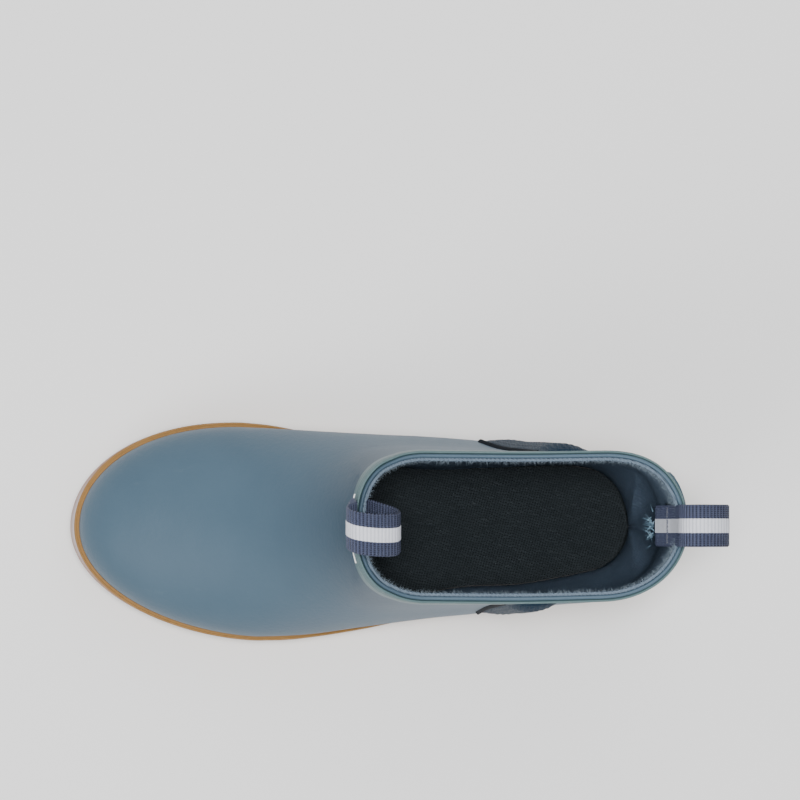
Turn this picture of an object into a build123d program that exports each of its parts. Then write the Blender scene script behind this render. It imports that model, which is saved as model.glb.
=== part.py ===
"""Left ankle deck boot in moulded rubber: gum outsole and foxing, ribbed elastic side gores, a banded
collar, a pull loop front and back, and a loose footbed. Toe towards -X, inner (medial) side +Y, up +Z."""

import os
from bisect import bisect_right
from math import atan2, cos, degrees, hypot, pi, radians, sin

from build123d import *

os.makedirs("parts", exist_ok=True)

# ---- driving sizes, mm -------------------------------------------------------------------------
wall = 1.6  # rubber upper
fleece = 1.6  # knit lining
band_thick = 1.2  # collar band outside the upper
band_tall = 15
guard_thick = 2.4  # heel stay and piping
bumper_thick = 2.4
foxing_wide = 2.7  # how far the sole stands out beyond the upper
sole_top = 16
foxing_top = 27
tread_deep = 3
toe_spring = 9
board_thick = 2.2
filler_deep = 2.2
filler_margin = 14
webbing_wide = 19
webbing_thick = 1.3
stripe_wide = 6.5
loop_reach = 28  # top of a loop above its swing axis
front_lean = 13  # degrees, as each loop rests
rear_lean = 30

# outline of the sole: half width on each side along the boot, and how full each end is (2 is an ellipse)
toe_tip, heel_tip, heel_widest = -165.3, 134, 92
sole_side = {
    "medial": [(-80, 52.5), (-65, 51), (-45, 47), (-20, 40), (10, 34.5), (40, 33.5), (70, 36), (95, 37)],
    "lateral": [(-70, 57), (-55, 56.5), (-35, 54), (-15, 50.5), (15, 44), (40, 40.5), (70, 38.5), (95, 37)],
}
toe_widest = {"medial": -82, "lateral": -70}
toe_power = {"medial": 2.2, "lateral": 1.75}
heel_power = {"medial": 2.7, "lateral": 2.1}

# the upper: fullest at belly height, narrowest at the rim
belly_side = {
    "medial": [(-85, 49.9), (-60, 49.2), (-35, 47.5), (-10, 45.5), (15, 44), (40, 42), (70, 39), (95, 37)],
    "lateral": [(-70, 54.4), (-45, 53), (-20, 49.5), (15, 45), (35, 43), (55, 40.5), (75, 38.5), (95, 37)],
}
rim_side = {
    "medial": [(-20, 34), (50, 33.2), (95, 34)],
    "lateral": [(-20, 33.4), (30, 33.9), (60, 34.1), (95, 33.4)],
}
side_heights = (22, 48, 100, 157)
feather_line = 22
arch_power = 3.0

# (height, X) of the instep line down the front, and of the back line
instep = [
    (22, -160.5), (32, -160), (41, -157), (48, -150.5), (53, -142), (57, -129), (61, -112), (66, -95),
    (73, -79), (84, -63), (98, -48), (112, -37), (126, -29), (141, -23), (157, -19.4), (200, -11),
    (260, -2), (420, 10),
]
back = [(22, 130), (45, 132), (75, 129.5), (110, 127.5), (157, 129.6), (200, 132)]
rim = [(-70, 162), (-20, 158.5), (12, 153.5), (50, 151), (90, 154), (130, 161.5), (180, 164)]


# ---- the last: one smooth closed form, made at any inset ---------------------------------------
def smooth(at, knots):
    """Value at `at` of a smooth curve through (place, value) knots, level beyond its ends."""
    places = [k[0] for k in knots]
    values = [k[1] for k in knots]
    if at <= places[0]:
        return values[0]
    if at >= places[-1]:
        return values[-1]
    i = bisect_right(places, at) - 1

    def slope(j):
        low, high = max(j - 1, 0), min(j + 1, len(places) - 1)
        return (values[high] - values[low]) / (places[high] - places[low])

    step = places[i + 1] - places[i]
    s = (at - places[i]) / step
    rise = values[i] * (1 + 2 * s) * (1 - s) ** 2 + values[i + 1] * s * s * (3 - 2 * s)
    return rise + step * s * (1 - s) * (slope(i) * (1 - s) - slope(i + 1) * s)


def moved_in(knots, inset):
    """The instep line moved square to itself, into the boot."""
    line = []
    for i, (height, x) in enumerate(knots):
        h0, x0 = knots[max(i - 1, 0)]
        h1, x1 = knots[min(i + 1, len(knots) - 1)]
        long = hypot(h1 - h0, x1 - x0)
        line.append((height - inset * (x1 - x0) / long, x + inset * (h1 - h0) / long))
    return line


def rounding(share, power):
    return (1 - min(max(share, 0), 1) ** power) ** 0.5


def height_on(line, x):
    """Height at which an instep line reaches x."""
    low, high = line[0][0], line[-1][0]
    for _ in range(40):
        middle = (low + high) / 2
        low, high = (middle, high) if smooth(middle, line) < x else (low, middle)
    return high


def half_width(side, x, z, inset, line):
    base = smooth(x, sole_side[side]) - foxing_wide
    belly = smooth(x, belly_side[side])
    top = smooth(x, rim_side[side])
    shaft = 0.45 * belly + 0.55 * top
    width = smooth(z, list(zip(side_heights, (base, belly, shaft, top)))) - inset
    tip = line[0][1]
    toe = rounding((toe_widest[side] - x) / (toe_widest[side] - tip), toe_power[side])
    heel_end = smooth(z, back) - inset
    heel = rounding((x - heel_widest) / (heel_end - heel_widest), heel_power[side])
    crown = 1
    if z > feather_line:
        crown = rounding((z - feather_line) / (height_on(line, x) - feather_line), arch_power)
    return width * toe * heel * crown


insets = {
    "guard": -guard_thick, "band": -band_thick, "groove": -0.5 * band_thick, "upper": 0, "wall": wall,
    "hollow": wall + fleece,
}
levels = [10, 22, 31, 37, 42, 46, 49.5, 52.5, 55.5, 58.5, 62, 66, 71, 78, 88, 101, 117, 136, 157, 178, 200]
spans = 15


def half_loop(point, count):
    """Smooth curve through point(0) .. point(1), square to the centre line at both its ends."""
    points = [point(i / count) for i in range(count + 1)]
    step = 0.002
    leaving = Vector(0, point(step).Y / step, 0)
    arriving = Vector(0, -point(1 - step).Y / step, 0)
    along = [i / count for i in range(count + 1)]
    return points, Edge.make_spline(points, tangents=[leaving, arriving], parameters=along, scale=False)


def section(side, z, inset, line):
    """Half of a level section, instep to back, its points closest together at its two ends."""
    front, rear = smooth(z, line), smooth(z, back) - inset
    hand = 1 if side == "medial" else -1

    def point(share):
        x = front + (rear - front) * (1 - cos(pi * share)) / 2
        y = 0 if share in (0, 1) else hand * half_width(side, x, z, inset, line)
        return Vector(x, y, z)

    return half_loop(point, spans)


def side_skin(side, inset):
    line = moved_in(instep, inset)
    rows, sections = [], []
    for z in levels:
        ease = min(max((z - 30) / 16, 0), 1) * min(max((120 - z) / 40, 0), 1)
        points, edge = section(side, z - inset * ease, inset, line)
        rows.append(points)
        sections.append(edge)
    upwards = [i / (len(rows) - 1) for i in range(len(rows))]
    guides = [Edge.make_spline([row[k] for row in rows], parameters=upwards) for k in (0, 5, 10, spans)]
    return Face.make_gordon_surface(sections, guides)


skins = {inset: [side_skin("medial", inset), side_skin("lateral", inset)] for inset in insets.values()}


def boot_form(inset):
    """Closed solid of the whole boot, `inset` inside the rubber's outer face."""
    loops = [Wire([skin.edges().sort_by(Axis.Z)[which] for skin in skins[inset]]) for which in (0, -1)]
    return Solid(Shell([*skins[inset], *[Face(loop) for loop in loops]]))


def layer(outer, inner):
    """The skin between two insets, open at bottom and top."""
    return boot_form(outer) - boot_form(inner)


# ---- cutting shapes ----------------------------------------------------------------------------
def side_slab(low, high, near=-90, far=90):
    """Slab seen from the side: between two curves of (x, z) points, from Y near to Y far."""
    with BuildPart() as slab:
        with BuildSketch(Plane.XZ.offset(-far)):
            with BuildLine():
                lower = Spline(*low) if len(low) > 2 else Line(*low)
                upper = Spline(*high) if len(high) > 2 else Line(*high)
                Line(lower @ 1, upper @ 1)
                Line(upper @ 0, lower @ 0)
            make_face()
        extrude(amount=far - near)
    return slab.part


def lifted(curve, by):
    return [(x, z + by) for x, z in curve]


def flat(z):
    return [(-200, z), (200, z)]


def ribbon(path, thick, wide, shift=0):
    """Strip of webbing: a side-view path given its thickness, extruded to its width across Y."""
    left, right = [], []
    for i, (x, z) in enumerate(path):
        x0, z0 = path[max(i - 1, 0)]
        x1, z1 = path[min(i + 1, len(path) - 1)]
        long = hypot(x1 - x0, z1 - z0)
        across = ((z0 - z1) / long, (x1 - x0) / long)
        left.append((x + across[0] * (shift + thick / 2), z + across[1] * (shift + thick / 2)))
        right.append((x + across[0] * (shift - thick / 2), z + across[1] * (shift - thick / 2)))
    return side_slab(right, left, -wide / 2, wide / 2)


def sole_edges(inset, tip=toe_tip):
    """The two halves of the sole outline, drawn in by `inset`, with its toe tip at X = `tip`."""
    start = tip + inset
    length = heel_tip - inset - start
    halves = []
    for side, hand in (("medial", 1), ("lateral", -1)):

        def point(share):
            x = start + length * (1 - cos(pi * share)) / 2
            toe = rounding((toe_widest[side] - x) / (toe_widest[side] - start), toe_power[side])
            heel = rounding((x - heel_widest) / (start + length - heel_widest), heel_power[side])
            return Vector(x, hand * (smooth(x, sole_side[side]) - inset) * toe * heel, 0)

        halves.append(half_loop(point, 20)[1])
    return halves


skin = boot_form(0)
band_skin = boot_form(-band_thick)
guard_layer = layer(-guard_thick, 0)
hollow = boot_form(wall + fleece)
board_top = sole_top + board_thick
foot_bed = [(-170, 27), (-110, 25), (-60, 25), (10, 29), (60, 29), (140, 27)]

# ---- bottom unit -------------------------------------------------------------------------------
tread_line = [(-200, 16), (-165, toe_spring), (-130, 3), (-95, 0.3), (-80, 0), (-60, 0)]
arch_line = [(14, 0), (20, 3.2), (32, 4.6), (46, 4.6), (54, 3.4), (56, 0)]

with BuildPart() as tread_cut:
    with BuildSketch():
        with BuildLine():
            add(sole_edges(6))
        make_face()
        with BuildSketch(mode=Mode.INTERSECT):
            for x in [-148 + 9.5 * i for i in range(17)] + [70 + 9.5 * i for i in range(6)]:
                with BuildLine():
                    Polyline((x, 0), (x - 9, 20), (x, 40), (x - 9, 60), (x - 6.6, 60), (x + 2.4, 40),
                             (x - 6.6, 20), (x + 2.4, 0), (x - 6.6, -20), (x + 2.4, -40), (x - 6.6, -60),
                             (x - 9, -60), (x, -40), (x - 9, -20), close=True)
                make_face()
    extrude(amount=sole_top)
    ground = [(-200, 16), (-165, toe_spring), (-130, 3), (-95, 0.3), (-80, 0), (0, 0), (80, 0), (200, 0)]
    add(side_slab(lifted(ground, -4), lifted(ground, tread_deep)), mode=Mode.INTERSECT)

with BuildPart() as outsole:
    with BuildSketch():
        with BuildLine():
            add(sole_edges(0))
        make_face()
    extrude(amount=sole_top)
    # toe spring, and the raised waist in front of the heel
    add(side_slab([(-200, -5), (-60, -5)], tread_line), mode=Mode.SUBTRACT)
    add(side_slab([(14, -5), (56, -5)], arch_line), mode=Mode.SUBTRACT)
    add(tread_cut.part, mode=Mode.SUBTRACT)
    # shallow bed in the top for the filler
    with BuildSketch(Plane.XY.offset(sole_top - filler_deep)):
        with BuildLine():
            add(sole_edges(filler_margin))
        make_face()
    extrude(amount=filler_deep, mode=Mode.SUBTRACT)

foxing_edge = [(-200, foxing_top + 5), (-150, foxing_top + 2), (-110, foxing_top), (0, foxing_top - 1),
               (100, foxing_top), (200, foxing_top + 2)]
# crescent round the outside of the toe, running out to nothing along both sides
with BuildPart() as toe_bumper:
    with BuildSketch(Plane.XY.offset(sole_top)):
        with BuildLine():
            add(sole_edges(0))
        make_face()
        with BuildLine():
            add(sole_edges(-0.4, toe_tip + bumper_thick + 0.4))
        make_face(mode=Mode.SUBTRACT)
    extrude(amount=foxing_top + 8 - sole_top)
    add(side_slab(flat(0), lifted(foxing_edge, -1.5)), mode=Mode.INTERSECT)

with BuildPart() as foxing_strip:
    with BuildSketch(Plane.XY.offset(sole_top)):
        with BuildLine():
            add(sole_edges(0))
        make_face()
    extrude(amount=foxing_top + 8 - sole_top)
    add(side_slab(flat(0), foxing_edge), mode=Mode.INTERSECT)
    add(skin, mode=Mode.SUBTRACT)
    add(toe_bumper.part, mode=Mode.SUBTRACT)

# ---- upper -------------------------------------------------------------------------------------
gore_lines = {"medial": ((37, 70), (62, 137)), "lateral": ((36, 70), (47, 137))}
gore_wide = 27


def gore_zone(side, start, end):
    """Slanting panel on one side, between two distances behind its front line, with a rounded foot."""
    (x0, z0), (x1, z1) = gore_lines[side]
    near, far = (5, 90) if side == "medial" else (-90, -5)
    with BuildPart() as zone:
        with BuildSketch(Plane.XZ.offset(-far)):
            with BuildLine():
                head = Line((x1 + start, z1), (x1 + end, z1))
                back_edge = Line(head @ 1, (x0 + end, z0 + 4))
                foot = Line((x0 + start, z0), head @ 0)
                ThreePointArc(back_edge @ 1, (x0 + (start + end) / 2, z0 - 0.25 * (end - start)), foot @ 0)
            make_face()
        extrude(amount=far - near)
        # the panel stops under the lower edge of the collar band
        add(side_slab(flat(0), lifted(rim, -band_tall)), mode=Mode.INTERSECT)
    return zone.part


with BuildPart() as upper:
    add(layer(0, wall))
    add(side_slab(flat(sole_top), rim), mode=Mode.INTERSECT)
    for side in gore_lines:
        add(gore_zone(side, 3, gore_wide), mode=Mode.SUBTRACT)

gores = {}
pipings = {}
for side in gore_lines:
    with BuildPart() as gore:
        add(layer(-band_thick, wall))
        add(gore_zone(side, 3, gore_wide), mode=Mode.INTERSECT)
    gores[side] = gore
    with BuildPart() as piping:
        add(guard_layer)
        add(gore_zone(side, 0, 2.9), mode=Mode.INTERSECT)
        add(gore.part, mode=Mode.SUBTRACT)
    pipings[side] = piping

with BuildPart() as collar_band:
    add(layer(-band_thick, 0))
    add(side_slab(lifted(rim, -band_tall), lifted(rim, -0.6)), mode=Mode.INTERSECT)
    # two fine grooves round the band
    for drop in (3.4, 6.4):
        groove = side_slab(lifted(rim, -drop - 0.8), lifted(rim, -drop))
        add(groove - boot_form(-0.5 * band_thick), mode=Mode.SUBTRACT)

with BuildPart() as heel_stay:
    add(guard_layer)
    add(side_slab(flat(foxing_top + 2), lifted(rim, -band_tall - 0.8)), mode=Mode.INTERSECT)
    with BuildSketch(Plane.YZ.offset(80)):
        with Locations((2.5, 130)):
            Rectangle(43, 300)
    extrude(amount=80, mode=Mode.INTERSECT)

# ---- lining and what lies inside ---------------------------------------------------------------
with BuildPart() as lining:
    add(layer(wall, wall + fleece))
    add(side_slab(flat(sole_top), lifted(rim, -0.8)), mode=Mode.INTERSECT)

with BuildPart() as insole_board:
    add(hollow)
    add(side_slab(flat(sole_top), flat(board_top)), mode=Mode.INTERSECT)

with BuildPart() as shank:
    with BuildSketch(Plane.XY.offset(sole_top - 1.2)):
        with Locations((30, 0)):
            SlotOverall(104, 13)
    extrude(amount=1.2)

with BuildPart() as midsole_filler:
    with BuildSketch(Plane.XY.offset(sole_top - filler_deep)):
        with BuildLine():
            add(sole_edges(filler_margin))
        make_face()
    extrude(amount=filler_deep)
    add(shank.part, mode=Mode.SUBTRACT)

with BuildPart() as footbed_foam:
    add(hollow)
    add(side_slab(flat(board_top), lifted(foot_bed, -1.2)), mode=Mode.INTERSECT)

with BuildPart() as footbed_cover:
    add(hollow)
    add(side_slab(lifted(foot_bed, -1.2), foot_bed), mode=Mode.INTERSECT)

# plain printed patch on the front of the band, under the loop's tail
with BuildPart() as front_patch:
    with BuildSketch(Plane.YZ.offset(-60)):
        with Locations((-0.8, 149)):
            Rectangle(31, 5)
    extrude(amount=50)
    add(band_skin.moved(Location((-0.15, 0, 0))), mode=Mode.INTERSECT)
    add(band_skin, mode=Mode.SUBTRACT)

# ---- pull loops --------------------------------------------------------------------------------
front_axis = (-16.0, 158.3)
rear_axis = (127.9, 161.2)
arch_path = [(-5.7, 6.7), (-10.2, 12.5), (-11.6, 19), (-8.4, 25), (0, loop_reach - 0.7), (8.4, 25),
             (11.6, 19), (10.2, 12.5), (5.7, 6.7)]


def leaned(path, axis, lean, slim=1):
    """Path drawn about a swing axis, tipped `lean` degrees towards +X."""
    turn = radians(lean)
    return [(axis[0] + slim * u * cos(turn) + w * sin(turn), axis[1] + w * cos(turn) - slim * u * sin(turn))
            for u, w in path]


loops = {
    "front": {"axis": front_axis, "path": leaned(arch_path, front_axis, front_lean), "out": -1},
    "rear": {"axis": rear_axis, "path": leaned(arch_path, rear_axis, rear_lean, 0.9), "out": 1},
}
pieces = {}
for name, loop in loops.items():
    path, out = loop["path"], loop["out"]
    pieces[name + "_loop_webbing"] = ribbon(path, webbing_thick, webbing_wide)
    pieces[name + "_loop_stripe"] = ribbon(path, 0.25, stripe_wide, shift=webbing_thick / 2 + 0.125)
    # the tails run from just below the arch down the outside of the band and down the lining
    for part_name, hand in (("outer", out), ("inner", -out)):
        end = path[0] if hand < 0 else path[-1]
        nxt = path[1] if hand < 0 else path[-2]
        long = hypot(end[0] - nxt[0], end[1] - nxt[1])
        lead = ((end[0] - nxt[0]) / long, (end[1] - nxt[1]) / long)
        top = (end[0] + 0.9 * lead[0], end[1] + 0.9 * lead[1])
        if part_name == "outer":
            reach = band_thick + webbing_thick / 2
        else:
            reach = -wall - fleece - webbing_thick / 2
        line = []
        # the front one stops just below the rim, behind the arch
        foot = 147 if (name, part_name) == ("front", "outer") else 133
        for step in range(4):
            z = 156 - (156 - foot) * step / 3
            x = smooth(z, instep) if name == "front" else smooth(z, back)
            line.append((x + out * reach, z))
        bend = ((top[0] + line[0][0]) / 2 + hand * 0.4, (top[1] + line[0][1]) / 2)
        route = [top, bend, *line]
        with BuildPart() as tail:
            add(ribbon(route, webbing_thick + 0.3, webbing_wide))
            if part_name == "outer":
                add(band_skin & side_slab(flat(0), lifted(rim, -0.6)), mode=Mode.SUBTRACT)
                add(heel_stay.part if name == "rear" else front_patch.part, mode=Mode.SUBTRACT)
            else:
                add(layer(0, wall + fleece) & side_slab(flat(sole_top), rim), mode=Mode.SUBTRACT)
        pieces[f"{name}_loop_{part_name}_tail"] = tail.part
        # bar tack of thread across the tail, a little below the rim
        x, z = line[1]
        tilt = degrees(atan2(line[0][0] - line[2][0], line[0][1] - line[2][1]))
        with BuildPart() as tack:
            with Locations(Location((x + hand * webbing_thick / 2, 0, z), (0, tilt, 0))):
                Box(1.0, webbing_wide - 3, 2.2)
            add(tail.part, mode=Mode.SUBTRACT)
        tacks = tack.part.solids().sort_by(Axis.X)
        pieces[f"{name}_{part_name}_bar_tack"] = tacks[0] if hand < 0 else tacks[-1]

pieces.update(
    outsole=outsole.part, foxing_strip=foxing_strip.part, toe_bumper=toe_bumper.part, upper=upper.part,
    medial_gore=gores["medial"].part, lateral_gore=gores["lateral"].part,
    medial_gore_piping=pipings["medial"].part, lateral_gore_piping=pipings["lateral"].part,
    collar_band=collar_band.part, heel_stay=heel_stay.part, front_patch=front_patch.part,
    lining=lining.part, insole_board=insole_board.part, shank=shank.part,
    midsole_filler=midsole_filler.part, footbed_foam=footbed_foam.part, footbed_cover=footbed_cover.part,
)

# ---- centre the boot on its own box and write the pieces ---------------------------------------
whole = Compound(children=[Compound(part.solids()) for part in pieces.values()]).bounding_box()
centre = Location((-whole.center().X, -whole.center().Y, -whole.min.Z))
for name, part in pieces.items():
    part = part.moved(centre)
    part.label = name
    export_step(part, f"parts/{name}.step")
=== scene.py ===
from math import cos, pi, radians, sin

import bpy
import numpy as np
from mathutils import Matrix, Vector


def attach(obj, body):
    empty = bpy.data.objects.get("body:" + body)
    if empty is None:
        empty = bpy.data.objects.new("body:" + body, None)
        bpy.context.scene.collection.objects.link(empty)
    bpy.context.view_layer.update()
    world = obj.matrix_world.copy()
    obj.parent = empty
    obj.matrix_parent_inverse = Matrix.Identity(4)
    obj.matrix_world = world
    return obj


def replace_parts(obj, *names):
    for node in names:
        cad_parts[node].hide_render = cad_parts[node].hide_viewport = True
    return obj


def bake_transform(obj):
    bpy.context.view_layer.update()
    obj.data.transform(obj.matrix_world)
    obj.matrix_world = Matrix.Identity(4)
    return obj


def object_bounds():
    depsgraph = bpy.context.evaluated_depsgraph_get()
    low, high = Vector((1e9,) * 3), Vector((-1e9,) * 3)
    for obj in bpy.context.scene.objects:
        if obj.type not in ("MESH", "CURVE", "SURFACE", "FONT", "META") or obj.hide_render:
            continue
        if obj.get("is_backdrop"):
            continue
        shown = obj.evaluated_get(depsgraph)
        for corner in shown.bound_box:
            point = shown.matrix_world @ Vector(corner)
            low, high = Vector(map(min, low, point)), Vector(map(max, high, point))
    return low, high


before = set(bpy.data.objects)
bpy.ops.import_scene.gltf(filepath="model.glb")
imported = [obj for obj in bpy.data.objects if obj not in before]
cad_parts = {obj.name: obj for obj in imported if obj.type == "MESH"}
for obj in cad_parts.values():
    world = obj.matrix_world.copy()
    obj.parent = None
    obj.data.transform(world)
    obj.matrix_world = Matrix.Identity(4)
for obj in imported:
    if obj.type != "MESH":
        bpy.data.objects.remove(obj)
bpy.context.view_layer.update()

# ---- camera, floor and light: a plan view from 1.5 m, toe to the left --------------------------
# Lengths below are millimetres in the maker's own frame; `away` is that frame's place in the row frame.
away = np.array([8.53552, 2.22461, 0.0])
camera_data = bpy.data.cameras.new("camera")
camera = bpy.data.objects.new("camera", camera_data)
bpy.context.scene.collection.objects.link(camera)
camera.location = ((0 + away[0]) / 1000, (-1.5 + away[1]) / 1000, 1.5)
camera_data.sensor_width = 36
camera_data.lens = 132.4
camera_data.shift_y = 0.1625
bpy.context.scene.camera = camera

floor_mesh = bpy.data.meshes.new("floor")
floor_mesh.from_pydata([(-2.5, -2.5, 0), (2.5, -2.5, 0), (2.5, 2.5, 0), (-2.5, 2.5, 0)], [], [(0, 1, 2, 3)])
floor = bpy.data.objects.new("floor", floor_mesh)
floor.location.z = -0.0005
bpy.context.scene.collection.objects.link(floor)
floor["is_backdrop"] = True

for name, place, size, power in (
    ("key", (-0.9, -0.8, 1.2), 0.9, 11),
    ("fill", (0.3, 1.1, 1.1), 1.1, 4),
    ("overhead", (0.05, 0.05, 2.2), 0.4, 48),
):
    light_data = bpy.data.lights.new(name, "AREA")
    light_data.size = size
    light_data.energy = power
    light = bpy.data.objects.new(name, light_data)
    light.location = place
    light.rotation_euler = (Vector(place) - Vector((0, 0, 0.08))).to_track_quat("Z", "Y").to_euler()
    bpy.context.scene.collection.objects.link(light)
    light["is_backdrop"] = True

world = bpy.data.worlds.new("studio")
world.use_nodes = True
world.node_tree.nodes["Background"].inputs["Color"].default_value = (1, 1, 1, 1)
world.node_tree.nodes["Background"].inputs["Strength"].default_value = 0.5
bpy.context.scene.world = world

# ---- shape of the last, as numbers the pieces below are cut from -------------------------------
sole_side = {
    1: [(-80, 52.5), (-65, 51), (-45, 47), (-20, 40), (10, 34.5), (40, 33.5), (70, 36), (95, 37)],
    -1: [(-70, 57), (-55, 56.5), (-35, 54), (-15, 50.5), (15, 44), (40, 40.5), (70, 38.5), (95, 37)],
}
belly_side = {
    1: [(-85, 49.9), (-60, 49.2), (-35, 47.5), (-10, 45.5), (15, 44), (40, 42), (70, 39), (95, 37)],
    -1: [(-70, 54.4), (-45, 53), (-20, 49.5), (15, 45), (35, 43), (55, 40.5), (75, 38.5), (95, 37)],
}
rim_side = {1: [(-20, 34), (50, 33.2), (95, 34)], -1: [(-20, 33.4), (30, 33.9), (60, 34.1), (95, 33.4)]}
toe_widest = {1: -82, -1: -70}
toe_power = {1: 2.2, -1: 1.75}
heel_power = {1: 2.7, -1: 2.1}
heel_widest, feather_line = 92, 22
instep = [
    (22, -160.5), (32, -160), (41, -157), (48, -150.5), (53, -142), (57, -129), (61, -112), (66, -95),
    (73, -79), (84, -63), (98, -48), (112, -37), (126, -29), (141, -23), (157, -19.4), (200, -11),
    (260, -2), (420, 10),
]
back = [(22, 130), (45, 132), (75, 129.5), (110, 127.5), (157, 129.6), (200, 132)]
rim = [(-70, 162), (-20, 158.5), (12, 153.5), (50, 151), (90, 154), (130, 161.5), (180, 164)]


def smooth(at, knots):
    """Smooth curve through (place, value) knots, level beyond its ends, at an array of places."""
    xs, ys = (np.array(k, float) for k in zip(*knots))
    slope = np.zeros(len(ys))
    slope[1:-1] = (ys[2:] - ys[:-2]) / (xs[2:] - xs[:-2])
    slope[0] = (ys[1] - ys[0]) / (xs[1] - xs[0])
    slope[-1] = (ys[-1] - ys[-2]) / (xs[-1] - xs[-2])
    at = np.clip(np.asarray(at, float), xs[0], xs[-1])
    i = np.clip(np.searchsorted(xs, at, side="right") - 1, 0, len(xs) - 2)
    step = xs[i + 1] - xs[i]
    s = (at - xs[i]) / step
    rise = ys[i] * (1 + 2 * s) * (1 - s) ** 2 + ys[i + 1] * s * s * (3 - 2 * s)
    return rise + step * s * (1 - s) * (slope[i] * (1 - s) - slope[i + 1] * s)


def ease(t):
    t = np.clip(t, 0, 1)
    return t * t * (3 - 2 * t)


def rounding(share, power):
    return np.sqrt(1 - np.clip(share, 0, 1) ** power)


height_table = np.linspace(22, 420, 4000)
instep_table = np.maximum.accumulate(smooth(height_table, instep))


def half_width(hand, x, z):
    """Half width of the rubber's outer face on one side (1 medial, -1 lateral)."""
    x, z = np.broadcast_arrays(np.asarray(x, float), np.asarray(z, float))
    base = smooth(x, sole_side[hand]) - 2.7
    belly = smooth(x, belly_side[hand])
    top = smooth(x, rim_side[hand])
    shaft = 0.45 * belly + 0.55 * top
    rows = np.stack([base, belly, shaft, top])
    heights = np.array([22.0, 48, 100, 157])
    slopes = np.stack([
        (rows[1] - rows[0]) / 26, (rows[2] - rows[0]) / 78, (rows[3] - rows[1]) / 109, (rows[3] - rows[2]) / 57])
    zc = np.clip(z, 22, 157)
    i = np.clip(np.searchsorted(heights, zc, side="right") - 1, 0, 2)
    step = heights[i + 1] - heights[i]
    s = (zc - heights[i]) / step
    low, high = np.choose(i, rows[:3]), np.choose(i, rows[1:])
    s_low, s_high = np.choose(i, slopes[:3]), np.choose(i, slopes[1:])
    width = low * (1 + 2 * s) * (1 - s) ** 2 + high * s * s * (3 - 2 * s)
    width = width + step * s * (1 - s) * (s_low * (1 - s) - s_high * s)
    toe = rounding((toe_widest[hand] - x) / (toe_widest[hand] + 160.5), toe_power[hand])
    heel = rounding((x - heel_widest) / (smooth(z, back) - heel_widest), heel_power[hand])
    top_of = np.interp(x, instep_table, height_table)
    crown = np.where(z > feather_line, rounding((z - feather_line) / np.maximum(top_of - feather_line, 1e-6), 3), 1)
    return width * toe * heel * crown


def on_last(share, z):
    """Points of the outer face: share runs 0 at the back, 0.5 at the instep, 1 at the back again."""
    share, z = np.broadcast_arrays(np.mod(np.asarray(share, float), 1), np.asarray(z, float))
    front, rear = smooth(z, instep), smooth(z, back)
    x = front + (rear - front) * (1 + np.cos(2 * pi * share)) / 2
    y = np.where(share < 0.5, half_width(1, x, z), -half_width(-1, x, z))
    return np.stack([x, y, z], -1)


def outwards(share, z):
    """Unit normals of the outer face."""
    along = on_last(share + 1e-3, z) - on_last(share - 1e-3, z)
    up = on_last(share, z + 0.25) - on_last(share, z - 0.25)
    n = np.cross(up, along)
    length = np.linalg.norm(n, axis=-1, keepdims=True)
    n = n / np.maximum(length, 1e-9)
    from_middle = on_last(share, z) - np.array([-10.0, 0, 40])
    return n * np.where((n * from_middle).sum(-1, keepdims=True) < 0, -1, 1)


def off_last(share, z, out):
    return on_last(share, z) + outwards(share, z) * np.asarray(out)[..., None]


# ---- meshes ------------------------------------------------------------------------------------
def make(name, points, faces, materials, smooth_faces=True, face_material=None):
    """Mesh object in the row frame from points in the maker's frame."""
    name = name.replace(" ", "_")
    mesh = bpy.data.meshes.new(name)
    mesh.from_pydata([tuple(p) for p in (np.asarray(points) + away) / 1000], [], faces)
    mesh.validate()
    if face_material is not None:
        mesh.polygons.foreach_set("material_index", face_material)
    mesh.polygons.foreach_set("use_smooth", [smooth_faces] * len(mesh.polygons))
    obj = bpy.data.objects.new(name, mesh)
    for material in materials:
        mesh.materials.append(material)
    bpy.context.scene.collection.objects.link(obj)
    return obj


def turn_out(obj):
    """All face normals of a closed mesh outwards."""
    import bmesh
    work = bmesh.new()
    work.from_mesh(obj.data)
    bmesh.ops.remove_doubles(work, verts=work.verts, dist=2e-7)
    bmesh.ops.recalc_face_normals(work, faces=work.faces)
    work.to_mesh(obj.data)
    work.free()
    obj.data.polygons.foreach_set("use_smooth", [True] * len(obj.data.polygons))
    return obj


def grid_faces(rows, columns, wrap_rows=False, wrap_columns=False, start=0):
    faces = []
    for r in range(rows if wrap_rows else rows - 1):
        for c in range(columns if wrap_columns else columns - 1):
            a, b = start + r * columns + c, start + r * columns + (c + 1) % columns
            d = start + ((r + 1) % rows) * columns
            faces.append((a, b, d + (c + 1) % columns, d + c))
    return faces


def ring_piece(name, loops, material):
    """Closed piece whose section, a loop of rows, runs all round the boot."""
    points = np.stack(loops)
    return turn_out(make(name, points.reshape(-1, 3), grid_faces(*points.shape[:2], True, True), [material]))


def slab_piece(name, outer, inner, material):
    """Closed piece between two open grids of the same size."""
    rows, columns = outer.shape[:2]
    n = rows * columns
    faces = grid_faces(rows, columns) + [f[::-1] for f in grid_faces(rows, columns, start=n)]
    edge = [c for c in range(columns)] + [r * columns + columns - 1 for r in range(1, rows)]
    edge += [(rows - 1) * columns + c for c in range(columns - 2, -1, -1)]
    edge += [r * columns for r in range(rows - 2, 0, -1)]
    for a, b in zip(edge, edge[1:] + edge[:1]):
        faces.append((a, a + n, b + n, b))
    points = np.concatenate([outer.reshape(-1, 3), inner.reshape(-1, 3)])
    return turn_out(make(name, points, faces, [material]))


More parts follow.
